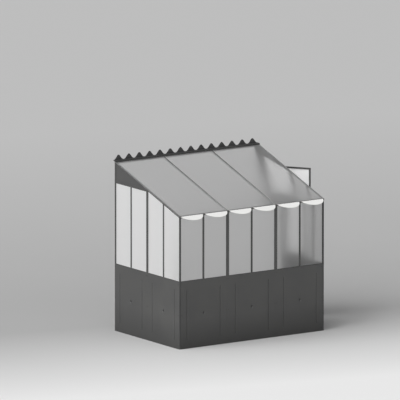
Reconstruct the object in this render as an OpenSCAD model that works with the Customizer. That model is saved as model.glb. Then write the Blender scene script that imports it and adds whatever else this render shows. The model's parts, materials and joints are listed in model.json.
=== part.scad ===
// Lean-to greenhouse: steel base panels, slim steel glazing frame, frosted glass, scalloped
// roof glass at the eave, a scalloped crest along the wall and a hinged door in the right side.
// X runs left to right along the front, Y runs from the front to the house wall, which is the
// plane Y = 0, and Z runs up from the ground. The origin is the middle of the wall's foot.

/* [Overall] */
// Width of one front bay; the front has three
front_bay = 800; // [600:10:1000]
// Depth of one side bay; each side has two
side_bay = 800; // [700:10:1000]
// Height of the roof's top surface over the front face
eave_h = 1855; // [1700:5:2100]
// Slope of the roof in degrees
roof_pitch = 18; // [12:1:28]
// Gap between the side frames and the house wall
wall_gap = 35; // [20:1:60]

/* [Base panels] */
// Height of the base panels
sill_h = 945; // [600:5:1200]
// Depth of a base panel's folded edge, and of the glazing frame
frame_t = 24; // [20:1:40]
// Thickness of the panel sheet
sheet_t = 2; // [1.5:0.5:3]
// Distance of a pressed groove from the bay's edge
groove_inset = 125; // [80:5:200]
// Width of a pressed groove at its mouth
groove_w = 14; // [10:1:40]
// Depth of a pressed groove
groove_d = 8; // [4:1:12]
// Distance of a groove's ends from the panel's top and bottom
groove_margin = 120; // [60:5:200]
// Width of the pressed diamond
diamond_w = 40; // [30:2:80]
// Height of the pressed diamond
diamond_h = 76; // [50:2:120]
// Depth of the pressed diamond
diamond_d = 14; // [4:1:16]

/* [Glazing frame] */
// Width of a thin glazing bar
bar_w = 20; // [12:1:30]
// Width of a mullion between two bays
mullion_w = 40; // [30:1:60]
// Depth of the corner strip that the side glass meets
corner_t = 10; // [8:1:14]
// Width of the slot in the corner strip
corner_slot_w = 14; // [8:1:16]
// Depth of the slot in the corner strip
corner_slot_d = 5; // [2:1:6]
// Depth of the eave rail and rake rails under the glass
rail_h = 14; // [10:1:24]
// Height of the header rail over the side glass
header_h = 30; // [20:1:50]
// How far the gable plates sit behind the frame's face
gable_inset = 5; // [2:1:12]
// Thickness of a gable plate
gable_t = 3; // [2:1:6]

/* [Glass] */
// Thickness of all the glass
glass_t = 4; // [3:1:6]
// How far the wall glass sits behind the frame's face
glass_inset = 6; // [4:1:12]
// Gap left where glass or a gable plate meets the steel along the roof
seat_gap = 0.2; // [0.1:0.1:1]
// Least gap between two of the rounded tails of the roof glass
tail_gap = 20; // [10:1:40]
// How far up the slope the tails' centres lie from the front face
tail_setback = 55; // [30:5:100]

/* [Roof] */
// Width of a rafter under the glass
rafter_w = 12; // [8:1:24]
// Depth of a rafter under the glass
rafter_h = 40; // [30:1:70]
// Width of the rafter's rib between two sheets of glass
rib_w = 4; // [2:1:6]
// Gap between a sheet of roof glass and a rafter's rib
rib_gap = 0.3; // [0.2:0.1:1]
// Height of the ridge rail's back, against the wall
ridge_h = 70; // [50:5:120]
// Thickness of the ridge rail, the wall angles and the ridge flashing
plate_t = 3; // [2:0.5:5]
// Depth of the ridge flashing, from the wall to its front lip
flashing_d = 60; // [50:1:120]
// Height of the ridge flashing's front lip
flashing_h = 24; // [22:1:50]
// Height of a scallop of the crest
crest_h = 68; // [40:1:120]
// How much wider the gaps between scallops are than the scallops: 1 makes them alike
crest_gap_power = 1.3; // [1:0.1:2]
// Number of scallops along the crest
crest_count = 14; // [6:1:24]
// Width of a glass stop at the eave
stop_w = 90; // [50:5:120]
// Height of a glass stop at the eave
stop_h = 18; // [12:1:30]
// Thickness of a glass stop at the eave
stop_t = 6; // [4:1:10]

/* [Wall fixing] */
// Width of a wall angle's leg along the wall
angle_w = 40; // [30:1:60]
// Radius of a wall-fixing hole
fix_r = 5; // [3:0.5:8]
// Height of the lower pair of wall-fixing holes
fix_low = 300; // [150:10:600]
// Height of the upper pair of wall-fixing holes
fix_high = 1900; // [1200:10:2000]
// Height of the ground rail along the wall
ground_h = 24; // [12:1:40]

/* [Door] */
// How far the door stands open, in degrees
door_open = 36; // [0:1:90]
// Gap between the door and the frame at its sides, top and bottom
door_gap = 6; // [5:0.5:10]
// Height of the header rail over the door
door_header_h = 16; // [16:1:40]
// Height of the threshold
threshold_h = 8; // [4:1:20]
// Width of the door's stiles, top rail and bar
stile_w = 20; // [16:1:40]
// Distance of the hinge pins from the outer face
pin_out = 8; // [7:0.5:12]
// Radius of a hinge pin
pin_r = 4; // [3:0.5:5]
// Radial gap between a pin and its knuckle
pin_gap = 0.15; // [0.1:0.05:0.3]
// Outer radius of a hinge knuckle
knuckle_r = 7; // [6:0.5:8]
// Height of one hinge knuckle
knuckle_h = 30; // [20:1:50]
// Gap between the two knuckles of a hinge
knuckle_gap = 0.3; // [0.2:0.1:1]
// Width of a hinge plate from the pin
hinge_w = 24; // [18:1:26]
// Distance of the outer hinges from the door's ends
hinge_inset = 230; // [120:10:400]
// Height of the pull handle's middle above the ground
handle_z = 1050; // [900:10:1200]
// Length of the pull handle between its feet
handle_len = 160; // [100:10:300]
// Distance of the handle's bar from the door's face
handle_out = 40; // [30:1:60]
// Radius of the handle's round bar
handle_r = 6; // [4:1:9]

/* [Hidden] */
$fn = 48;
paint = "dimgray";
crest_paint = "#404040";
frosted = [0.9, 0.92, 0.92, 0.75];
steel = "gray";

front_bays = 3;
side_bays = 2;
tails_per_bay = 2;
cut = 1;                                     // how far a cutting shape runs past a face
half_w = front_bays * front_bay / 2;         // from the middle to a side's outer face
back_y = -wall_gap;                          // back end of the side frames
front_y = back_y - side_bays * side_bay;     // front face
mid_y = front_y + side_bay;                  // line between the two side bays
slope = tan(roof_pitch);
bed = glass_t + seat_gap;                     // the steel's top, below the roof's surface
rake_drop = bed + rail_h;                    // rake rail's underside, below the roof's surface

// Height of the plane that lies n below the roof's surface, measured square to it
function roof_z(y, n) = eave_h + (y - front_y) * slope - n / cos(roof_pitch);
// Where the same plane reaches the height z
function roof_y(z, n) = front_y + (z + n / cos(roof_pitch) - eave_h) / slope;

eave_z = roof_z(front_y, bed) - rail_h;      // top of the front glass
header_top = roof_z(mid_y, bed);             // the header lines up with the roof at the mullion
post_y = back_y - frame_t;                   // front side of the wall posts
door_y = mid_y + mullion_w / 2;              // door side of the right mullion
ridge_z = roof_z(0, bed) - ridge_h;          // underside of the ridge rail
lip_y = -flashing_d;
flashing_z = roof_z(lip_y, 0) + flashing_h;  // top of the ridge flashing
tail_pitch = front_bay / tails_per_bay;
tail_r = (tail_pitch - tail_gap) / 2;
roof_len = (0 - front_y) / cos(roof_pitch);  // slope length from the front face to the wall
hinge_x = half_w + pin_out;
hinge_y = post_y - door_gap / 2;
leaf_y1 = post_y - door_gap;                 // hinge side of the closed door
leaf_y0 = door_y + door_gap;                 // free side of the closed door
leaf_z0 = threshold_h + door_gap;
leaf_z1 = header_top - door_header_h - door_gap;

// A shape drawn in the Y-Z plane, pushed along X from x0 to x1
module yz(x0, x1, points) {
    translate([x0, 0, 0])
        rotate([90, 0, 90])
            linear_extrude(x1 - x0)
                polygon(points);
}

// An upright in a side wall, from y0 to y1, that ends under the rake rail
module side_upright(x0, x1, y0, y1, z0) {
    yz(x0, x1, [[y0, z0], [y1, z0], [y1, roof_z(y1, rake_drop)], [y0, roof_z(y0, rake_drop)]]);
}

// Puts a left-hand piece on the right
module on_right() {
    mirror([1, 0, 0])
        children();
}

// ---- base panels ----

// A V-shaped trough along Z, its mouth on the plane Y = 0 and its point at Y = depth
module vee(half_mouth, depth, length) {
    flare = half_mouth * cut / depth;
    translate([0, 0, -length / 2])
        linear_extrude(length)
            polygon([[-half_mouth - flare, -cut], [half_mouth + flare, -cut], [0, depth]]);
}

// A diamond-shaped pit: the common part of two troughs that run along its edges
module diamond(w, h, depth) {
    edge = norm([w, h]) / 2;
    tilt = atan(w / h);
    intersection_for (side = [-1, 1])
        rotate([0, side * tilt, 0])
            vee(w * h / 4 / edge, depth, 4 * edge);
}

// Both grooves and the diamond of a bay, grown by a margin
module pressing(bay, z0, z1, grow) {
    length = z1 - z0 - 2 * groove_margin + 2 * grow;
    for (x = [groove_inset, bay - groove_inset])
        translate([x, 0, (z0 + z1) / 2])
            vee(groove_w / 2 + grow, groove_d + grow, length);
    translate([bay / 2, 0, (z0 + z1) / 2])
        diamond(diamond_w + 2 * grow, diamond_h + 2 * grow, diamond_d + grow);
}

// A pressed steel tray with folded edges, for one bay along X. Its face is the plane Y = 0,
// it is open at the back, and it is trimmed by trim0 and trim1 at its ends.
module base_panel(bay, trim0, trim1, z0, z1) {
    x0 = trim0;
    w = bay - trim0 - trim1;
    color(paint)
        difference() {
            union() {
                difference() {
                    translate([x0, 0, z0])
                        cube([w, frame_t, z1 - z0]);
                    translate([x0 + sheet_t, sheet_t, z0 + sheet_t])
                        cube([w - 2 * sheet_t, frame_t, z1 - z0 - 2 * sheet_t]);
                }
                intersection() {
                    pressing(bay, z0, z1, sheet_t);
                    translate([x0, 0, z0])
                        cube([w, frame_t, z1 - z0]);
                }
            }
            pressing(bay, z0, z1, 0);
        }
}

module front_base_panel(i) {
    translate([-half_w + i * front_bay, front_y, 0])
        base_panel(front_bay, i == 0 ? frame_t : 0, i == front_bays - 1 ? frame_t : 0, 0, sill_h);
}

module left_base_panel(i) {
    translate([-half_w, front_y + (i + 1) * side_bay, 0])
        rotate([0, 0, -90])
            base_panel(side_bay, 0, i == 0 ? corner_t : 0, 0, sill_h);
}

module right_base_panel() {
    on_right()
        left_base_panel(0);
}

// ---- uprights ----

// The slotted strip at the corner, with a leg behind the side glass above the base panels
module corner_post_left() {
    slot_x = (frame_t - corner_slot_w) / 2;
    color(paint)
        translate([-half_w, 0, 0])
            difference() {
                union() {
                    yz(0, frame_t, [
                        [front_y, 0],
                        [front_y + corner_t, 0],
                        [front_y + corner_t, eave_z],
                        [front_y, eave_z]
                    ]);
                    yz(glass_inset + glass_t, frame_t, [
                        [front_y + corner_t, sill_h],
                        [front_y + frame_t, sill_h],
                        [front_y + frame_t, eave_z],
                        [front_y + corner_t, eave_z]
                    ]);
                }
                translate([slot_x, front_y - cut, -cut])
                    cube([corner_slot_w, corner_slot_d + cut, eave_z + 2 * cut]);
            }
}

module corner_post_right() {
    on_right()
        corner_post_left();
}

module wall_post_left() {
    color(paint)
        side_upright(-half_w, -half_w + frame_t, post_y, back_y, sill_h);
}

module wall_post_right() {
    color(paint)
        side_upright(half_w - frame_t, half_w, post_y, back_y, 0);
}

// The steel angle that ties a side frame to the house wall, with its fixing holes
module wall_angle_left() {
    leg_x = -half_w + frame_t;
    color(paint)
        difference() {
            union() {
                translate([leg_x, post_y, 0])
                    cube([plate_t, -post_y, ridge_z]);
                translate([leg_x, -plate_t, 0])
                    cube([angle_w, plate_t, ridge_z]);
            }
            for (z = [fix_low, fix_high])
                translate([leg_x + angle_w * 0.6, cut, z])
                    rotate([90, 0, 0])
                        cylinder(r = fix_r, h = plate_t + 2 * cut);
        }
}

module wall_angle_right() {
    on_right()
        wall_angle_left();
}

// A glazing bar of the front, centred on x
module front_upright(x, w) {
    color(paint)
        translate([x - w / 2, front_y, sill_h])
            cube([w, frame_t, eave_z - sill_h]);
}

module front_mullions() {
    for (i = [1 : front_bays - 1])
        front_upright(-half_w + i * front_bay, mullion_w);
}

module front_bars() {
    for (i = [0 : front_bays - 1])
        front_upright(-half_w + (i + 0.5) * front_bay, bar_w);
}

module left_mullion() {
    color(paint)
        side_upright(-half_w, -half_w + frame_t,
            mid_y - mullion_w / 2, mid_y + mullion_w / 2, sill_h);
}

// Thin bar in the middle of side bay i
module left_bar(i) {
    y = front_y + (i + 0.5) * side_bay;
    color(paint)
        if (i == 0)
            side_upright(-half_w, -half_w + frame_t, y - bar_w / 2, y + bar_w / 2, sill_h);
        else
            translate([-half_w, y - bar_w / 2, sill_h])
                cube([frame_t, bar_w, header_top - header_h - sill_h]);
}

module left_bars() {
    for (i = [0 : side_bays - 1])
        left_bar(i);
}

// The mullion beside the door runs down to the ground behind the base panel's end
module right_mullion() {
    y0 = mid_y - mullion_w / 2;
    color(paint)
        yz(half_w - frame_t, half_w, [
            [mid_y, 0],
            [door_y, 0],
            [door_y, roof_z(door_y, rake_drop)],
            [y0, roof_z(y0, rake_drop)],
            [y0, sill_h],
            [mid_y, sill_h]
        ]);
}

module right_bar() {
    on_right()
        left_bar(0);
}

// ---- rails ----

module eave_rail() {
    y1 = front_y + frame_t;
    color(paint)
        yz(-half_w, half_w, [
            [front_y, eave_z],
            [y1, eave_z],
            [y1, roof_z(y1, bed)],
            [front_y, roof_z(front_y, bed)]
        ]);
}

// Glass stops at the eave, at both corners and both mullions
module eave_stops() {
    y0 = front_y - stop_t;
    z0 = roof_z(y0, bed) - stop_h;
    for (i = [0 : front_bays]) {
        x = -half_w + i * front_bay;
        color(paint)
            yz(max(x - stop_w / 2, -half_w), min(x + stop_w / 2, half_w), [
                [y0, z0],
                [front_y, z0],
                [front_y, roof_z(front_y, bed)],
                [y0, roof_z(y0, bed)]
            ]);
    }
}

module rake_left() {
    y0 = front_y + frame_t;
    color(paint)
        yz(-half_w, -half_w + frame_t, [
            [y0, roof_z(y0, rake_drop)],
            [back_y, roof_z(back_y, rake_drop)],
            [back_y, roof_z(back_y, bed)],
            [y0, roof_z(y0, bed)]
        ]);
}

module rake_right() {
    on_right()
        rake_left();
}

// A rafter carries two sheets of roof glass and has a thin rib between them
module rafters() {
    y0 = front_y + frame_t;
    y1 = back_y;
    for (i = [1 : front_bays - 1]) {
        x = -half_w + i * front_bay;
        color(paint) {
            yz(x - rafter_w / 2, x + rafter_w / 2, [
                [y0, roof_z(y0, bed + rafter_h)],
                [y1, roof_z(y1, bed + rafter_h)],
                [y1, roof_z(y1, bed)],
                [y0, roof_z(y0, bed)]
            ]);
            yz(x - rib_w / 2, x + rib_w / 2, [
                [y0, roof_z(y0, bed + cut)],
                [y1, roof_z(y1, bed + cut)],
                [y1, roof_z(y1, 0)],
                [y0, roof_z(y0, 0)]
            ]);
        }
    }
}

// A channel along the wall, open below, that carries the roof's upper edge
module ridge_rail() {
    y1 = back_y + plate_t;
    end_x = half_w - frame_t;                // the rail ends over the wall angles
    color(paint)
        yz(-end_x, end_x, [
            [0, ridge_z],
            [0, roof_z(0, bed)],
            [back_y, roof_z(back_y, bed)],
            [back_y, ridge_z],
            [y1, ridge_z],
            [y1, roof_z(y1, bed + plate_t)],
            [-plate_t, roof_z(-plate_t, bed + plate_t)],
            [-plate_t, ridge_z]
        ]);
}

// Ridge flashing: a front lip on the glass, a flat top and, on the wall, the scalloped crest
module ridge_crest() {
    step = 15;                               // degrees between two points of a scallop
    pitch_x = 2 * half_w / crest_count;
    lip1_y = lip_y + plate_t;
    wave = [
        for (a = [0 : step : 360 * crest_count])
            [-half_w + a / 360 * pitch_x,
             flashing_z + crest_h * pow((1 - cos(a)) / 2, crest_gap_power)]
    ];
    section = [
        [lip_y, roof_z(lip_y, -seat_gap)],
        [lip1_y, roof_z(lip1_y, -seat_gap)],
        [lip1_y, flashing_z - plate_t],
        [-plate_t, flashing_z - plate_t],
        [0, flashing_z - plate_t],
        [0, flashing_z],
        [lip_y, flashing_z]
    ];
    end_plate = [
        [lip_y, roof_z(lip_y, -seat_gap)],
        [0, roof_z(0, -seat_gap)],
        [0, flashing_z],
        [lip_y, flashing_z]
    ];
    color(crest_paint) {
        yz(-half_w, half_w, section);
        yz(-half_w, -half_w + plate_t, end_plate);
        yz(half_w - plate_t, half_w, end_plate);
        rotate([90, 0, 0])
            linear_extrude(plate_t)
                polygon(concat([[-half_w, flashing_z - plate_t]], wave,
                    [[half_w, flashing_z - plate_t]]));
    }
}

module gable_plate_left() {
    x0 = -half_w + gable_inset;
    color(paint)
        yz(x0, x0 + gable_t, [
            [roof_y(header_top, rake_drop + seat_gap), header_top],
            [post_y, header_top],
            [post_y, roof_z(post_y, rake_drop + seat_gap)]
        ]);
}

module gable_plate_right() {
    on_right()
        gable_plate_left();
}

// A header rail of height h between a side's mullion and its wall post
module side_header(x0, h) {
    color(paint)
        yz(x0, x0 + frame_t, [
            [door_y, header_top - h],
            [post_y, header_top - h],
            [post_y, header_top],
            [roof_y(header_top, rake_drop), header_top],
            [door_y, roof_z(door_y, rake_drop)]
        ]);
}

module header_left() {
    side_header(-half_w, header_h);
}

module door_header() {
    side_header(half_w - frame_t, door_header_h);
}

module door_threshold() {
    color(paint)
        translate([half_w - frame_t, door_y, 0])
            cube([frame_t, post_y - door_y, threshold_h]);
}

// Ties the feet of the two wall angles
module back_ground_rail() {
    x0 = -half_w + frame_t + angle_w;
    color(paint)
        translate([x0, -ground_h, 0])
            cube([-2 * x0, ground_h, ground_h]);
}

// ---- glass ----

// Two panes of a front bay, one on each side of its thin bar
module front_glass(i) {
    x0 = -half_w + i * front_bay;
    mid = x0 + front_bay / 2;
    left = i == 0 ? x0 + frame_t : x0 + mullion_w / 2;
    right = x0 + front_bay - (i == front_bays - 1 ? frame_t : mullion_w / 2);
    for (span = [[left, mid - bar_w / 2], [mid + bar_w / 2, right]])
        color(frosted)
            translate([span[0], front_y + glass_inset, sill_h])
                cube([span[1] - span[0], glass_t, eave_z - seat_gap - sill_h]);
}

// Two panes of the front side bay, cut to the slope of the roof
module left_glass_1() {
    x0 = -half_w + glass_inset;
    mid = front_y + side_bay / 2;
    for (span = [
        [front_y + frame_t, mid - bar_w / 2],
        [mid + bar_w / 2, mid_y - mullion_w / 2]
    ])
        color(frosted)
            side_upright(x0, x0 + glass_t, span[0], span[1], sill_h);
    // the strip of glass that runs on under the eave rail to the corner strip
    color(frosted)
        yz(x0, x0 + glass_t, [
            [front_y + corner_t, sill_h],
            [front_y + frame_t, sill_h],
            [front_y + frame_t, eave_z],
            [front_y + corner_t, eave_z]
        ]);
}

// Two panes of the back side bay, under the header
module left_glass_2() {
    x0 = -half_w + glass_inset;
    mid = mid_y + side_bay / 2;
    for (span = [[door_y, mid - bar_w / 2], [mid + bar_w / 2, post_y]])
        color(frosted)
            translate([x0, span[0], sill_h])
                cube([glass_t, span[1] - span[0], header_top - header_h - sill_h]);
}

module right_glass() {
    on_right()
        left_glass_1();
}

// Draws on the roof's surface: X across, Y up the slope from the front face, Z out of the roof
module on_roof() {
    translate([0, front_y, eave_h])
        rotate([roof_pitch, 0, 0])
            children();
}

// One sheet of roof glass, which ends in two rounded tails in front of the eave
module roof_glass(i) {
    x0 = -half_w + i * front_bay;
    left = i == 0 ? x0 : x0 + rib_w / 2 + rib_gap;
    right = x0 + front_bay - (i == front_bays - 1 ? 0 : rib_w / 2 + rib_gap);
    top_len = roof_len - (plate_t + glass_t * slope) / cos(roof_pitch);
    color(frosted)
        on_roof()
            translate([0, 0, -glass_t])
                union() {
                    translate([left, 0, 0])
                        cube([right - left, top_len, glass_t]);
                    for (t = [0 : tails_per_bay - 1])
                        translate([x0 + (t + 0.5) * tail_pitch, tail_setback, 0])
                            cylinder(r = tail_r, h = glass_t, $fn = 96);
                }
}

// ---- door ----

// Turns what is drawn for the closed door to where the door stands open
module door_pose() {
    translate([hinge_x, hinge_y, 0])
        rotate([0, 0, door_open])
            translate([-hinge_x, -hinge_y, 0])
                children();
}

// Stiles, top rail and middle bar, welded into one frame
module door_frame() {
    x0 = half_w - frame_t;
    mid = (leaf_y0 + leaf_y1) / 2;
    color(paint)
        door_pose() {
            for (y = [leaf_y0, leaf_y1 - stile_w])
                translate([x0, y, leaf_z0])
                    cube([frame_t, stile_w, leaf_z1 - leaf_z0]);
            translate([x0, leaf_y0, leaf_z1 - stile_w])
                cube([frame_t, leaf_y1 - leaf_y0, stile_w]);
            translate([x0, mid - bar_w / 2, sill_h])
                cube([frame_t, bar_w, leaf_z1 - stile_w - sill_h]);
        }
}

module door_panel() {
    door_pose()
        translate([half_w, leaf_y0, 0])
            rotate([0, 0, 90])
                base_panel(leaf_y1 - leaf_y0, stile_w, stile_w, leaf_z0, sill_h);
}

module door_glass() {
    x0 = half_w - glass_inset - glass_t;
    mid = (leaf_y0 + leaf_y1) / 2;
    door_pose()
        for (span = [[leaf_y0 + stile_w, mid - bar_w / 2], [mid + bar_w / 2, leaf_y1 - stile_w]])
            color(frosted)
                translate([x0, span[0], sill_h])
                    cube([glass_t, span[1] - span[0], leaf_z1 - stile_w - sill_h]);
}

function hinge_zs() = [leaf_z0 + hinge_inset, (leaf_z0 + leaf_z1) / 2, leaf_z1 - hinge_inset];

// One half of a hinge: a knuckle from z up and the plate beside it, on the side dir of the pin
module hinge_half(z, dir) {
    translate([hinge_x, hinge_y, z])
        cylinder(r = knuckle_r, h = knuckle_h);
    translate([half_w, dir > 0 ? hinge_y : hinge_y - hinge_w, z])
        cube([plate_t, hinge_w, knuckle_h]);
}

// Door half of each hinge: its knuckle sits over the pin
module door_hinges() {
    color(steel)
        door_pose()
            for (z = hinge_zs())
                difference() {
                    hinge_half(z + knuckle_gap / 2, -1);
                    translate([hinge_x, hinge_y, z])
                        cylinder(r = pin_r + pin_gap, h = knuckle_h + cut);
                }
}

// Post half of each hinge, with the pin
module post_hinges() {
    color(steel)
        for (z = hinge_zs()) {
            hinge_half(z - knuckle_gap / 2 - knuckle_h, 1);
            translate([hinge_x, hinge_y, z - knuckle_h])
                cylinder(r = pin_r, h = 2 * knuckle_h);
        }
}

// Pull handle on the free stile: a round bar on two round feet
module door_handle() {
    color(steel)
        door_pose()
            translate([half_w, leaf_y0 + stile_w / 2, handle_z]) {
                for (side = [-1, 1])
                    translate([0, 0, side * handle_len / 2])
                        rotate([0, 90, 0])
                            cylinder(r = handle_r, h = handle_out);
                translate([handle_out, 0, -handle_len / 2])
                    cylinder(r = handle_r, h = handle_len);
                for (side = [-1, 1])
                    translate([handle_out, 0, side * handle_len / 2])
                        sphere(r = handle_r);
            }
}

front_base_panel(0);  // front_base_panel_1
front_base_panel(1);  // front_base_panel_2
front_base_panel(2);  // front_base_panel_3
left_base_panel(0);  // left_base_panel_1
left_base_panel(1);  // left_base_panel_2
right_base_panel();
corner_post_left();
corner_post_right();
wall_post_left();
wall_post_right();
wall_angle_left();
wall_angle_right();
front_mullions();
front_bars();
left_mullion();
left_bars();
right_mullion();
right_bar();
eave_rail();
eave_stops();
rake_left();
rake_right();
rafters();
ridge_rail();
ridge_crest();
gable_plate_left();
gable_plate_right();
header_left();
door_header();
door_threshold();
back_ground_rail();
front_glass(0);  // front_glass_1
front_glass(1);  // front_glass_2
front_glass(2);  // front_glass_3
left_glass_1();
left_glass_2();
right_glass();
roof_glass(0);  // roof_glass_1
roof_glass(1);  // roof_glass_2
roof_glass(2);  // roof_glass_3
door_frame();
door_panel();
door_glass();
door_hinges();
post_hinges();
door_handle();
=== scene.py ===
"""Looks for the lean-to greenhouse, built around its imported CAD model.

The CAD holds every member at its real place. Here each steel member gets eased edges, every node
gets its finish, and the glazing seals, roof trims, screws, wall bolts and handle discs that the CAD
leaves out are added. All sizes are in metres.
"""

import json
import math

import bmesh
import bpy
import numpy as np
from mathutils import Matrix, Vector


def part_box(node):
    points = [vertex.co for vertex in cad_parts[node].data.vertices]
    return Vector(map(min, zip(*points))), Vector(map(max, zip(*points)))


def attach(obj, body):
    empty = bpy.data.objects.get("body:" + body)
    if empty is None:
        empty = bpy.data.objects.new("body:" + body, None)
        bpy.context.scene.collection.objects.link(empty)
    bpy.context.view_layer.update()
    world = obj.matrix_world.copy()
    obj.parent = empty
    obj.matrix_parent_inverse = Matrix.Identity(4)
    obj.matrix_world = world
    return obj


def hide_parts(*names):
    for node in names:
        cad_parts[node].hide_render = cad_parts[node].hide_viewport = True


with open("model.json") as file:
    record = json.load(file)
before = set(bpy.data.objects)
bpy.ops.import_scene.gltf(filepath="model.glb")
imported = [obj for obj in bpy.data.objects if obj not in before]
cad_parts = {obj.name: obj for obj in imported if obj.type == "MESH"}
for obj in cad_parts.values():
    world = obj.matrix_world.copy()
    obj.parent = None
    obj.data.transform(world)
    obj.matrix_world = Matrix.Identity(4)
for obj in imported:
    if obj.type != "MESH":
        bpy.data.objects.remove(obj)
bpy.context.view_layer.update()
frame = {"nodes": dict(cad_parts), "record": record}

MM = 0.001
X, Y, Z = 0, 1, 2
FRAME, DOOR = "frame", "door"

GROUND_SHADE_HEIGHT = 0.4                  # how high painted shade reaches up the base panels from the floor
LAMP_TINT = "8C8C8C"                 # what one face of a pane leaves of a lamp's light
STEEL_DARK, STEEL_LIGHT = "434343", "494948"
# painted shade for the pressed grooves of the base panels: the lighter one is for the front panels
FRONT_GROOVE_SHADE, GROOVE_SHADE = "2E2E2E", "161616"


# ---------------------------------------------------------------- colours and nodes

NOISE_LOW, NOISE_HIGH = 0.3, 0.7     # noise stays mostly between these values
FIRST, SECOND, MIXED = 6, 7, 2       # a Mix node's colour sockets, whose names aren't their own


def srgb(code):
    """A colour written as RRGGBB, turned to the linear values that shaders use."""
    parts = [int(code[i:i + 2], 16) / 255 for i in (0, 2, 4)]
    linear = [c / 12.92 if c <= 0.04045 else ((c + 0.055) / 1.055) ** 2.4 for c in parts]
    return (*linear, 1.0)


def add(tree, kind, inputs=None, **settings):
    """Adds one node. inputs fills its sockets, by name or number: an output is linked, a colour's
    hex value is turned to linear, and any other value is set. settings are its own properties."""
    made = tree.nodes.new(kind)
    for key, value in settings.items():
        setattr(made, key, value)
    for key, value in (inputs or {}).items():
        if isinstance(value, bpy.types.NodeSocket):
            tree.links.new(value, made.inputs[key])
        else:
            made.inputs[key].default_value = srgb(value) if isinstance(value, str) else value
    return made


def material(name):
    """An empty node material, its tree and its object coordinates, which are in metres."""
    mat = bpy.data.materials.new(name)
    mat.use_nodes = True
    tree = mat.node_tree
    tree.nodes.clear()
    return mat, tree, add(tree, "ShaderNodeTexCoord").outputs["Object"]


def patches(tree, place, size, low, high):
    """A value that wanders between low and high in soft patches about size metres across."""
    spots = add(tree, "ShaderNodeTexNoise", {"Vector": place, "Scale": 1 / size, "Detail": 2})
    return add(tree, "ShaderNodeMapRange", {
        "Value": spots.outputs["Fac"], "From Min": NOISE_LOW, "From Max": NOISE_HIGH,
        "To Min": low, "To Max": high}).outputs["Result"]


def mottled(tree, place, size, dark, light):
    """A tone that wanders between two in soft patches about size metres across."""
    spots = add(tree, "ShaderNodeTexNoise", {"Vector": place, "Scale": 1 / size, "Detail": 2})
    return add(tree, "ShaderNodeMix", {"Factor": spots.outputs["Fac"], FIRST: dark, SECOND: light},
               data_type="RGBA").outputs[MIXED]


def grained(tree, place, size, height, detail=2):
    """A relief of grains about size metres across and height metres high."""
    spots = add(tree, "ShaderNodeTexNoise", {"Vector": place, "Scale": 1 / size, "Detail": detail})
    return add(tree, "ShaderNodeBump", {
        "Height": spots.outputs["Fac"], "Distance": height}).outputs["Normal"]


def fading(tree, value, start, end, first, second, shares=(0, 1)):
    """A tone that changes while a value goes from start to end. shares says how much of the
    second tone there is at the start and at the end."""
    share = add(tree, "ShaderNodeMapRange", {
        "Value": value, "From Min": start, "From Max": end,
        "To Min": shares[0], "To Max": shares[1]})
    return add(tree, "ShaderNodeMix", {
        "Factor": share.outputs["Result"], FIRST: first, SECOND: second},
        data_type="RGBA").outputs[MIXED]


def depth_behind(tree, place, face):
    """How far a point lies behind a face, which is given as its outward direction and a point."""
    out, on_face = face
    along = add(tree, "ShaderNodeVectorMath", {0: place, 1: tuple(-out)}, operation="DOT_PRODUCT")
    return add(tree, "ShaderNodeMath", {0: along.outputs["Value"], 1: out.dot(on_face)},
               operation="ADD").outputs[0]


def powder_coat(name, dark, light, roughness, face=None, groove_shade=GROOVE_SHADE, light_span=None):
    """Steel with a baked polyester powder coat. The powder melts into a fine orange peel of about
    3 mm, drawn at 6 mm so that it shows, and handling leaves faint duller clouds. On a base panel
    (face given) shade is painted into the pressed grooves, darker the deeper they lie, and towards
    the foot. On the roof, given two places along Y, light is painted on the strip, paler towards
    its lower end."""
    cloud_size, peel_size, peel_height = 350 * MM, 6 * MM, 0.1 * MM
    groove_top, groove_bottom = 1.5 * MM, 9 * MM
    # painted shade for the foot of the base panels, and painted light for the roof strip
    ground_shade, eave_light = "222221", "9C9C9A"
    mat, tree, place = material(name)
    cloud = add(tree, "ShaderNodeTexNoise", {
        "Vector": place, "Scale": 1 / cloud_size, "Detail": 3}).outputs["Fac"]
    dullness = add(tree, "ShaderNodeMapRange", {
        "Value": cloud, "From Min": NOISE_LOW, "From Max": NOISE_HIGH,
        "To Min": roughness - 0.04, "To Max": roughness + 0.05})
    tone = fading(tree, cloud, NOISE_LOW, NOISE_HIGH, dark, light)
    along = add(tree, "ShaderNodeSeparateXYZ", {"Vector": place}).outputs
    if face:
        depth = depth_behind(tree, place, face)
        # painted shade in the pressed grooves, darker the deeper they lie
        tone = fading(tree, depth, groove_top, groove_bottom, tone, groove_shade)
        # painted shade towards the foot, fading out at the height of the ground shade
        tone = fading(tree, along["Z"], 0, GROUND_SHADE_HEIGHT, tone, ground_shade, shares=(0.6, 0))
    # painted light: the strip gets paler towards its lower end, at the eave
    if light_span:
        tone = fading(tree, along["Y"], *light_span, tone, eave_light, shares=(0.8, 0))
    shader = add(tree, "ShaderNodeBsdfPrincipled", {
        "Base Color": tone,
        "Roughness": dullness.outputs["Result"],
        "Normal": grained(tree, place, peel_size, peel_height, detail=1),
        "IOR": 1.5,
    })
    add(tree, "ShaderNodeOutputMaterial", {"Surface": shader.outputs[0]})
    return mat


def through_glass(tree, pane, tint):
    """Lets lamps shine through both faces of a pane, with a tint, and lets the second face of the
    pane pass what the first one has already blurred."""
    for_lamps = add(tree, "ShaderNodeLightPath").outputs["Is Shadow Ray"]
    inner_face = add(tree, "ShaderNodeNewGeometry").outputs["Backfacing"]
    clear = add(tree, "ShaderNodeBsdfTransparent", {"Color": "FFFFFF"}).outputs[0]
    tinted = add(tree, "ShaderNodeBsdfTransparent", {"Color": tint}).outputs[0]
    seen = add(tree, "ShaderNodeMixShader", {0: inner_face, 1: pane, 2: clear}).outputs[0]
    return add(tree, "ShaderNodeMixShader", {0: for_lamps, 1: seen, 2: tinted}).outputs[0]


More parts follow.
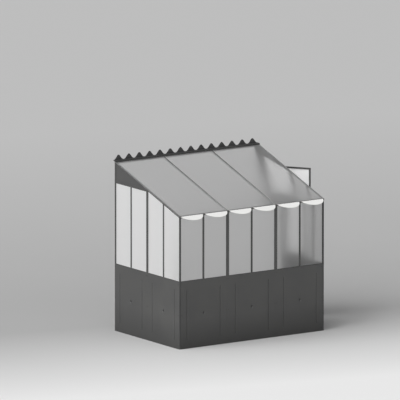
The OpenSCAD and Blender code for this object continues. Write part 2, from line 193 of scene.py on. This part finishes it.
def etched_glass(name, tone, clearness, white_before=None):
    """Toughened glass, etched on one side. The etch spreads what is behind it into a blur and
    sends part of the light back as a matt white veil, which is the plain share of the shader.
    On the roof, the tails in front of the wall line white_before are painted matt white: painted
    light for what the tails catch from above and pass from the lit floor below."""
    grain_size, grain_height, cloud_size = 4 * MM, 0.04 * MM, 500 * MM
    mat, tree, place = material(name)
    pane = {
        "Base Color": tone,
        "Roughness": patches(tree, place, cloud_size, 0.34, 0.38),
        "Normal": grained(tree, place, grain_size, grain_height),
        "IOR": 1.5,
        "Transmission Weight": clearness,
    }
    if white_before is not None:
        # painted light: the tails are made white and opaque
        tail_white = "E8E8E6"
        along = add(tree, "ShaderNodeSeparateXYZ", {"Vector": place}).outputs["Y"]
        edge = (white_before - MM, white_before + MM)
        pane["Base Color"] = fading(tree, along, *edge, tone, tail_white, shares=(1, 0))
        for socket, on_tail, behind in (("Transmission Weight", 0, clearness),
                                        ("Specular IOR Level", 0.1, 0.5)):
            pane[socket] = add(tree, "ShaderNodeMapRange", {
                "Value": along, "From Min": edge[0], "From Max": edge[1],
                "To Min": on_tail, "To Max": behind}).outputs["Result"]
    shader = add(tree, "ShaderNodeBsdfPrincipled", pane)
    both_faces = through_glass(tree, shader.outputs[0], LAMP_TINT)
    add(tree, "ShaderNodeOutputMaterial", {"Surface": both_faces})
    return mat


def rubber(name):
    """EPDM glazing seal: a matt black rubber with a slight bloom and a fine grain of about 2 mm."""
    grain_size, patch_size, bloom_size = 2 * MM, 20 * MM, 50 * MM
    mat, tree, place = material(name)
    shader = add(tree, "ShaderNodeBsdfPrincipled", {
        "Base Color": mottled(tree, place, bloom_size, "1A1A1A", "262626"),
        "Roughness": patches(tree, place, patch_size, 0.7, 0.85),
        "Normal": grained(tree, place, grain_size, 0.05 * MM),
        "IOR": 1.5,
    })
    add(tree, "ShaderNodeOutputMaterial", {"Surface": shader.outputs[0]})
    return mat


def blackened_steel(name):
    """Steel plated with zinc and blackened: darker and shinier than the paint, with fine scuffs."""
    scuff_size, wear_size, patch_size = 1.5 * MM, 4 * MM, 10 * MM
    mat, tree, place = material(name)
    shader = add(tree, "ShaderNodeBsdfPrincipled", {
        "Base Color": mottled(tree, place, patch_size, "2B2B2C", "3A3A3B"),
        "Roughness": patches(tree, place, wear_size, 0.3, 0.45),
        "Normal": grained(tree, place, scuff_size, 0.02 * MM),
        "Metallic": 0.8,
    })
    add(tree, "ShaderNodeOutputMaterial", {"Surface": shader.outputs[0]})
    return mat


# ---------------------------------------------------------------- where the walls and door are

front_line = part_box("front_mullions")[0].y
left_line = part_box("left_mullion")[0].x
right_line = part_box("right_mullion")[1].x

hinge = frame["record"]["behaviour"]["joints"][0]
hinge_at = np.array(hinge["pos_m"])
door_open = math.radians(-hinge["range_deg"][0])


def turned(points, angle):
    """Points turned about the hinge's upright axis."""
    c, s = math.cos(angle), math.sin(angle)
    arm = np.asarray(points, float) - hinge_at
    x = arm[:, 0] * c - arm[:, 1] * s
    y = arm[:, 0] * s + arm[:, 1] * c
    return np.stack([x, y, arm[:, 2]], axis=1) + hinge_at


def as_closed(points):
    """The open door's points, moved to where they are when it is closed."""
    return turned(points, -door_open)


def as_open(points):
    """The closed door's points, moved to where they are in the CAD frame."""
    return turned(points, door_open)


door_out = Vector((math.cos(door_open), math.sin(door_open), 0))
door_face_point = Vector(as_open([[right_line, hinge_at[1], 0]])[0])


# ---------------------------------------------------------------- finishes

paint = powder_coat("powder_coated_steel", STEEL_DARK, STEEL_LIGHT, 0.5)
faces = {
    "front": (Vector((0, -1, 0)), Vector((0, front_line, 0))),
    "left": (Vector((-1, 0, 0)), Vector((left_line, 0, 0))),
    "right": (Vector((1, 0, 0)), Vector((right_line, 0, 0))),
    "door": (door_out, door_face_point),
}
# each side has its own copy for its groove depth; the front panels get the lighter painted groove
# shade
panel_paint = {side: powder_coat(f"powder_coated_{side}_panels", STEEL_DARK, STEEL_LIGHT, 0.5, face,
                                 groove_shade=FRONT_GROOVE_SHADE if side == "front" else GROOVE_SHADE)
               for side, face in faces.items()}
crest_paint = powder_coat("powder_coated_crest", "373737", "3D3D3D", 0.55)
# the roof caps are painted paler towards the eave: painted light
cap_paint = powder_coat("powder_coated_roof_caps", "4A4A4A", "525252", 0.5,
                        light_span=(front_line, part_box("rafters")[1].y))
corner_paint = powder_coat("powder_coated_corners", "3E3E3E", "444444", 0.5)
fitting_paint = powder_coat("powder_coated_fittings", "3A3A3A", "424242", 0.4)
# One etched glass, made in copies whose tone and clearness paint part of each wall's light and
# shade: the front and right glass darker, the lit left side, the door and the roof lighter.
wall_glass = etched_glass("etched_wall_glass", "CACACA", 0.86)
side_glass = etched_glass("etched_side_glass", "ECECEC", 0.6)
door_glass = etched_glass("etched_door_glass", "F6F6F6", 0.3)
roof_glass = etched_glass("etched_roof_glass", "E6E6E6", 0.82, front_line)
seal_rubber = rubber("epdm_seal")
screw_steel = blackened_steel("blackened_screws")


# ---------------------------------------------------------------- camera, floor and light

VIEW_TURN = math.radians(33.97)


def set_camera():
    """A very long lens, 34 degrees to the left of the front and 10.8 degrees down. The picture is
    5.5 m wide at the object, and the aim is given from the front left foot."""
    turn, tilt = VIEW_TURN, math.radians(10.78)
    level = Vector((math.sin(turn), math.cos(turn), 0))
    ahead = level * math.cos(tilt) - Vector((0, 0, math.sin(tilt)))
    right = Vector((math.cos(turn), -math.sin(turn), 0))
    up = right.cross(ahead)
    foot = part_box("corner_post_left")[0]
    aim_right, aim_up, aim_ahead, picture_width = 0.2815, 2.0524, 0.7, 5.505
    aim = foot + aim_right * right + aim_up * up + aim_ahead * ahead
    data = bpy.data.cameras.new("camera")
    data.lens = 1200
    data.clip_end = 500
    distance = picture_width * data.lens / data.sensor_width
    camera = bpy.data.objects.new("camera", data)
    bpy.context.scene.collection.objects.link(camera)
    camera.location = aim - ahead * distance
    camera.rotation_euler = ahead.to_track_quat("-Z", "Y").to_euler()
    bpy.context.scene.camera = camera


def set_floor():
    """A plain pale floor, far wider than the picture. It is painted paler towards the front left
    from its wall line on, a painted pool of light, and it is a little paler far behind."""
    half = 250
    corners = [(-half, -half, 0), (half, -half, 0), (half, half, 0), (-half, half, 0)]
    mesh = bpy.data.meshes.new("floor")
    mesh.from_pydata(corners, [], [(0, 1, 2, 3)])
    floor = bpy.data.objects.new("floor", mesh)
    bpy.context.scene.collection.objects.link(floor)
    mat, tree, place = material("matt_pale_floor")
    turn = VIEW_TURN - math.radians(20)
    wall_line = (Vector((-math.sin(turn), -math.cos(turn), 0)), Vector((0, 0, 0)))
    depth = depth_behind(tree, place, wall_line)
    far_start, far_end, near_end, shade_size = 2, 14, -4.5, 2.5
    plain = mottled(tree, place, shade_size, "A9A9A9", "ADADAD")
    far = fading(tree, depth, far_start, far_end, plain, "BDBDBD")
    # painted light: paler towards the front of the wall line
    tone = fading(tree, depth, near_end, 0, far, "EAEAEA", shares=(1, 0))
    shader = add(tree, "ShaderNodeBsdfPrincipled", {"Base Color": tone, "Roughness": 0.9})
    add(tree, "ShaderNodeOutputMaterial", {"Surface": shader.outputs[0]})
    mesh.materials.append(mat)


def set_light():
    """Soft studio light: a dome that is brighter to the left and darker behind, where the house
    wall would stand, and a wide soft lamp."""
    left_strength, right_strength = 1.72, 0.3
    behind_share = 0.4
    shining = Vector((0.87, 0.02, -0.75))
    world = bpy.data.worlds.new("studio")
    world.use_nodes = True
    bpy.context.scene.world = world
    tree = world.node_tree
    tree.nodes.clear()
    place = add(tree, "ShaderNodeTexCoord").outputs["Generated"]
    towards = add(tree, "ShaderNodeSeparateXYZ", {"Vector": place}).outputs
    side = add(tree, "ShaderNodeMapRange", {
        "Value": towards["X"], "From Min": -1.0, "From Max": 0.6,
        "To Min": left_strength, "To Max": right_strength}, interpolation_type="SMOOTHSTEP")
    behind = add(tree, "ShaderNodeMapRange", {
        "Value": towards["Y"], "From Min": -0.2, "From Max": 0.7,
        "To Min": 1.0, "To Max": behind_share}, interpolation_type="SMOOTHSTEP")
    both = add(tree, "ShaderNodeMath", {
        0: side.outputs["Result"], 1: behind.outputs["Result"]}, operation="MULTIPLY")
    dome = add(tree, "ShaderNodeBackground", {"Color": "FFFFFF", "Strength": both.outputs[0]})
    add(tree, "ShaderNodeOutputWorld", {"Surface": dome.outputs[0]})
    lamp = bpy.data.lights.new("key", "SUN")
    lamp.energy = 1.6
    lamp.angle = math.radians(50)
    key = bpy.data.objects.new("key", lamp)
    bpy.context.scene.collection.objects.link(key)
    key.rotation_euler = shining.to_track_quat("-Z", "Y").to_euler()


set_camera()
set_floor()
set_light()
bpy.context.scene.view_settings.view_transform = "Standard"


# ---------------------------------------------------------------- CAD nodes

FINISH = {"frame_paint": paint, "crest_paint": crest_paint, "fittings": fitting_paint,
          "frosted_glass": wall_glass}
slots = {row["node"]: row["material_slot"] for row in frame["record"]["subparts"]}
node_body = {n: b for b, names in frame["record"]["behaviour"]["bodies"].items() for n in names}


def finish_of(name):
    """The finish of a CAD node: its own where it has one, or else its slot's."""
    if name.startswith("roof_glass"):
        return roof_glass
    if name.startswith("left_glass"):
        return side_glass
    if name == "door_glass":
        return door_glass
    if name.startswith(("corner_post", "door_frame")):
        return corner_paint
    if name == "door_panel":
        return panel_paint["door"]
    if "base_panel" in name:
        return panel_paint[name.split("_")[0]]
    return FINISH[slots[name]]


for name, node in frame["nodes"].items():
    node.data.materials.clear()
    node.data.materials.append(finish_of(name))


# ---------------------------------------------------------------- mesh helpers

def piece(name, mesh, mat, body):
    """A new piece at the origin, flat shaded, riding on a body."""
    mesh.materials.append(mat)
    mesh.shade_flat()
    made = bpy.data.objects.new(name, mesh)
    bpy.context.scene.collection.objects.link(made)
    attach(made, body)
    return made


def closed_piece(name, parts, mat, body):
    """One piece from closed parts, each (verts, polys), with all faces turned outwards."""
    starts = np.cumsum([0] + [len(verts) for verts, polys in parts])
    verts = np.concatenate([np.asarray(verts, float) for verts, polys in parts])
    faces = [[corner + start for corner in poly]
             for start, (_, polys) in zip(starts.tolist(), parts) for poly in polys]
    mesh = bpy.data.meshes.new(name)
    mesh.from_pydata(verts.tolist(), [], faces)
    work = bmesh.new()
    work.from_mesh(mesh)
    bmesh.ops.recalc_face_normals(work, faces=work.faces)
    work.to_mesh(mesh)
    work.free()
    return piece(name, mesh, mat, body)


def ring_faces(rings, n, closed=False):
    """Quads between rings of n points each. closed joins the last ring to the first; otherwise
    the first and last ring are filled by a face each."""
    i, j = np.meshgrid(np.arange(rings if closed else rings - 1), np.arange(n), indexing="ij")
    after, beside = (i + 1) % rings, (j + 1) % n
    quads = np.stack([i * n + j, i * n + beside, after * n + beside, after * n + j], axis=-1)
    faces = quads.reshape(-1, 4).tolist()
    if not closed:
        faces += [list(range(n))[::-1], list(range((rings - 1) * n, rings * n))]
    return faces


def turned_rings(at, out, radii, heights, turns):
    """Rings about the axis out through at: ring i has radius radii[i, j] at the angle turns[j]
    and stands at heights[i] along the axis."""
    out = np.asarray(out, float)
    first = np.cross(out, (0, 0, 1))
    second = np.cross(out, first)
    ring = np.outer(np.cos(turns), first) + np.outer(np.sin(turns), second)
    rings = radii[:, :, None] * ring + heights[:, None, None] * out
    return (rings + np.asarray(at)).reshape(-1, 3)


def solids(name):
    """The vertex positions of each separate solid of a CAD node. Every corner starts with a label
    of its own, and each face gives its corners the lowest of theirs until no label changes."""
    mesh = frame["nodes"][name].data
    points = np.empty(len(mesh.vertices) * 3, np.float32)
    mesh.vertices.foreach_get("co", points)
    points = points.reshape(-1, 3).astype(float)
    corners = np.empty(len(mesh.loops), np.int32)
    mesh.loops.foreach_get("vertex_index", corners)
    _, same = np.unique(points.round(6), axis=0, return_inverse=True)
    same = same.ravel()
    triangles = same[corners].reshape(-1, 3)
    labels, lower = None, np.arange(same.max() + 1)
    while not np.array_equal(labels, lower):
        labels = lower
        lower = labels.copy()
        np.minimum.at(lower, triangles, labels[triangles].min(axis=1, keepdims=True))
    return [points[labels[same] == label] for label in np.unique(labels)]


def outline(points):
    """The corners of the convex outline of points in a plane, anticlockwise: the sorted points
    are walked both ways, and a corner that doesn't turn left is dropped."""
    pts = sorted(set(map(tuple, np.round(points, 5))))

    def half(row):
        out = []
        for p in row:
            while len(out) > 1:
                a, b = np.subtract(out[-1], out[-2]), np.subtract(p, out[-2])
                if a[0] * b[1] - a[1] * b[0] > 1e-9:
                    break
                out.pop()
            out.append(p)
        return out[:-1]

    return np.array(half(pts) + half(pts[::-1]))


def inset(corners, distance):
    """A convex outline moved inwards: each corner moves along its mitre."""
    edge = np.roll(corners, -1, axis=0) - corners
    edge /= np.linalg.norm(edge, axis=1)[:, None]
    inward = np.stack([-edge[:, 1], edge[:, 0]], axis=1)
    before = np.roll(inward, 1, axis=0)
    mitre = (inward + before) / (1 + (inward * before).sum(axis=1))[:, None]
    return corners + mitre * distance


def loop_frame(corners, section, place):
    """A closed moulding around an outline. Each point (a, b) of its section makes one ring: the
    outline moved in by a, at height b. place turns in-plane points and a height to 3-D."""
    rings = [place(inset(corners, a), b) for a, b in section]
    return np.concatenate(rings), ring_faces(len(section), len(corners), closed=True)


def extruded(section, start, end, side, up):
    """A straight bar: its section's points (a, b) stand at a along side and b along up."""
    flat = section @ np.array([side, up], float)
    return np.concatenate([flat + start, flat + end]), ring_faces(2, len(section))


def screws(spots, radius, height):
    """Button-head screws with a hexagon socket. Each turns a stepped section about its axis, and
    the socket's rings follow a hexagon: r(t) = a / cos((t mod 60) - 30 degrees)."""
    turns = np.radians(np.arange(0, 360, 15))
    hexagon = 0.4 / np.cos(np.mod(turns, math.pi / 3) - math.pi / 6)
    head = np.outer([1, 1, 0.9, 0.7, 0.58], np.ones(len(turns)))
    radii = radius * np.vstack([head, hexagon, hexagon])
    heights = height * np.array([0, 0.3, 0.62, 0.9, 1, 1, 0.45])
    faces = ring_faces(len(heights), len(turns))
    return [(turned_rings(at, out, radii, heights, turns), faces) for at, out in spots]


# ---------------------------------------------------------------- eased steel members

def eased(name, width):
    """Makes a copy of a steel node with eased edges and hides the node. The copy's flat faces are
    merged, and each edge sharper than 30 degrees becomes a narrow round of two strips, as folded
    and coated steel has."""
    sharp_angle = math.radians(30)
    work = bmesh.new()
    work.from_mesh(frame["nodes"][name].data)
    bmesh.ops.remove_doubles(work, verts=work.verts, dist=1e-6)
    bmesh.ops.dissolve_limit(work, angle_limit=math.radians(1), verts=work.verts, edges=work.edges)
    sharp = [e for e in work.edges if e.is_manifold and e.calc_face_angle() > sharp_angle]
    bmesh.ops.bevel(work, geom=sharp, offset=width, offset_type="OFFSET", segments=2, profile=0.5,
                    affect="EDGES", clamp_overlap=True)
    bmesh.ops.triangulate(work, faces=[f for f in work.faces if len(f.verts) > 4])
    mesh = bpy.data.meshes.new(f"{name}_eased")
    work.to_mesh(mesh)
    work.free()
    made = piece(f"{name}_eased", mesh, finish_of(name), node_body[name])
    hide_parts(name)


BAR_EASE, SHEET_EASE = 1.2 * MM, 0.5 * MM
SHEET_NODES = ("base_panel", "door_panel", "gable_plate", "wall_angle", "ridge_")
for name in frame["nodes"]:
    if slots[name] in ("frame_paint", "crest_paint"):
        thin = any(word in name for word in SHEET_NODES)
        eased(name, SHEET_EASE if thin else BAR_EASE)


# ---------------------------------------------------------------- glazing seals

SEAL = np.array([(0, 0), (4, 0), (4, 1.5), (2.8, 3.4), (1.2, 4), (0, 4)]) * MM
NARROWEST_PANE = 30 * MM


def wall_seals(name, nodes, across, through, body=FRAME):
    """A rubber seal on both faces of each pane. across is the axis that the pane spans besides Z,
    through is the axis of its thickness. The door's panes are sealed as if it were closed."""
    on_door = body == DOOR
    parts = []
    for solid in [s for node in nodes for s in solids(node)]:
        if on_door:
            solid = as_closed(solid)
        corners = outline(solid[:, [across, Z]])
        if np.ptp(corners, axis=0).min() < NARROWEST_PANE:
            continue
        for level, sign in ((solid[:, through].max(), 1), (solid[:, through].min(), -1)):
            def place(flat, height, level=level, sign=sign):
                spots = np.empty((len(flat), 3))
                spots[:, [across, Z]] = flat
                spots[:, through] = level + sign * height
                return as_open(spots) if on_door else spots
            parts.append(loop_frame(corners, SEAL, place))
    closed_piece(name, parts, seal_rubber, body)


wall_seals("front_seals", ["front_glass_1", "front_glass_2", "front_glass_3"], X, Y)
wall_seals("left_seals", ["left_glass_1", "left_glass_2"], Y, X)
wall_seals("right_seals", ["right_glass"], Y, X)
wall_seals("door_seals", ["door_glass"], Y, X, DOOR)


# ---------------------------------------------------------------- roof trims

PITCH = math.radians(18)
GLASS_THICKNESS = 4 * MM
roof_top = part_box("roof_glass_2")[1]
UP_SLOPE = np.array([0, math.cos(PITCH), math.sin(PITCH)])
OFF_ROOF = np.array([0, -math.sin(PITCH), math.cos(PITCH)])
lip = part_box("ridge_crest")[0]


def on_roof(x, y):
    """A point of the roof glass's upper face."""
    top_y = roof_top.y - GLASS_THICKNESS * math.sin(PITCH)
    return np.array([x, y, roof_top.z + (y - top_y) * math.tan(PITCH)])


def roof_caps():
    """Low domed caps over the two joints between the roof's sheets."""
    section = [(-6, 0), (6, 0), (6, 1.2), (4, 2.6), (1.5, 3.2), (-1.5, 3.2), (-4, 2.6), (-6, 1.2)]
    joints = [rafter[:, X].mean() for rafter in solids("rafters")]
    parts = [extruded(np.array(section) * MM, on_roof(x, front_line), on_roof(x, lip.y),
                      (1, 0, 0), OFF_ROOF) for x in joints]
    closed_piece("roof_caps", parts, cap_paint, FRAME)


def eave_strip():
    """A thin drip strip across the glass over the front wall."""
    section = [(-3, 0), (3, 0), (3, 1), (1, 1.8), (-1, 1.8), (-3, 1)]
    strip = extruded(np.array(section) * MM, on_roof(left_line, front_line),
                     on_roof(right_line, front_line), UP_SLOPE, OFF_ROOF)
    closed_piece("eave_strip", [strip], crest_paint, FRAME)


roof_caps()
eave_strip()


# ---------------------------------------------------------------- screws and bolts

FRONT, LEFT, RIGHT = (0, -1, 0), (-1, 0, 0), (1, 0, 0)
EDGE = 16 * MM                       # from a panel's end to its screws
WALL_PLATE = 3 * MM
HINGE_PLATE = 3 * MM
SCALLOPS = 14


def frame_screws():
    """Screws that hold the base panels, three up each end, and the glass stops, two in each."""
    spots = []
    from_foot, from_sill, stop_rise = 45 * MM, 40 * MM, 9 * MM
    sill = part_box("front_base_panel_1")[1].z
    heights = (from_foot, sill / 2, sill - from_sill)
    for low, high in [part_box(f"front_base_panel_{i}") for i in (1, 2, 3)]:
        for x in (low.x + EDGE, high.x - EDGE):
            spots += [((x, front_line, z), FRONT) for z in heights]
    for name, line, out in (("left_base_panel_1", left_line, LEFT),
                            ("left_base_panel_2", left_line, LEFT),
                            ("right_base_panel", right_line, RIGHT)):
        low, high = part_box(name)
        for y in (low.y + EDGE, high.y - EDGE):
            spots += [((line, y, z), out) for z in heights]
    for stop in solids("eave_stops"):
        low, high = stop.min(axis=0), stop.max(axis=0)
        for share in (0.2, 0.8):
            x = low[X] + share * (high[X] - low[X])
            spots.append(((x, low[Y], low[Z] + stop_rise), FRONT))
    closed_piece("frame_screws", screws(spots, radius=4.5 * MM, height=2.4 * MM), screw_steel, FRAME)


def flashing_screws():
    """One screw under each scallop of the crest, in the flashing's front lip."""
    rise = 12 * MM
    low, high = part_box("ridge_crest")
    pitch = (high.x - low.x) / SCALLOPS
    z = on_roof(0, lip.y)[Z] + rise
    spots = [((low.x + (i + 0.5) * pitch, lip.y, z), FRONT) for i in range(SCALLOPS)]
    closed_piece("flashing_screws", screws(spots, radius=4 * MM, height=2 * MM), screw_steel, FRAME)


def hinge_screws(name, node, body):
    """Two screws in each hinge plate, near the plate's end that is away from the pin."""
    on_door = body == DOOR
    from_end, rises = 6 * MM, (8 * MM, 22 * MM)
    spots = []
    for solid in solids(node):
        if on_door:
            solid = as_closed(solid)
        low, high = solid.min(axis=0), solid.max(axis=0)
        y = low[Y] + from_end if on_door else high[Y] - from_end
        spots += [(right_line + HINGE_PLATE, y, low[Z] + rise) for rise in rises]
    out = RIGHT
    if on_door:
        spots, out = as_open(spots), door_out
    made = screws([(spot, out) for spot in spots], radius=3 * MM, height=1.6 * MM)
    closed_piece(name, made, screw_steel, body)


def handle_feet():
    """Round cover discs where the pull handle's feet meet the stile. Each turns a low domed
    section, from 6 mm to 11.5 mm in radius and 3 mm high, about its foot's axis."""
    half_foot = 6 * MM
    solid = as_closed(solids("door_handle")[0])
    low, high = solid.min(axis=0), solid.max(axis=0)
    section = np.array([(6, 3), (9, 3), (10.5, 2.4), (11.3, 1.2), (11.5, 0), (6, 0)]) * MM
    turns = np.radians(np.arange(0, 360, 10))
    radii = np.outer(section[:, 0], np.ones(len(turns)))
    faces = ring_faces(len(section), len(turns), closed=True)
    parts = []
    for z in (low[Z] + half_foot, high[Z] - half_foot):
        at = (right_line, (low[Y] + high[Y]) / 2, z)
        parts.append((as_open(turned_rings(at, RIGHT, radii, section[:, 1], turns)), faces))
    closed_piece("handle_feet", parts, fitting_paint, DOOR)


def wall_bolts():
    """Hexagon bolt heads on round washers in the four holes of the wall angles."""
    washer = np.array([(10, 0), (10, 1.6), (9.4, 2)]) * MM
    head = np.array([(8.2, 2), (8.2, 7), (7.2, 8)]) * MM
    mount = next(m for m in frame["record"]["mounts"] if m["kind"] == "bolt_pattern")
    half_x = mount["dims"]["spacing_x_mm"] / 2 * MM
    half_z = mount["dims"]["spacing_y_mm"] / 2 * MM
    x, _, z = mount["pos_m"]
    parts = []
    for at in [(x + i * half_x, -WALL_PLATE, z + j * half_z) for i in (-1, 1) for j in (-1, 1)]:
        for section, step in ((washer, 15), (head, 60)):
            turns = np.radians(np.arange(0, 360, step))
            radii = np.outer(section[:, 0], np.ones(len(turns)))
            verts = turned_rings(at, FRONT, radii, section[:, 1], turns)
            parts.append((verts, ring_faces(len(section), len(turns))))
    closed_piece("wall_bolts", parts, screw_steel, FRAME)


frame_screws()
flashing_screws()
hinge_screws("post_hinge_screws", "post_hinges", FRAME)
hinge_screws("door_hinge_screws", "door_hinges", DOOR)
handle_feet()
wall_bolts()
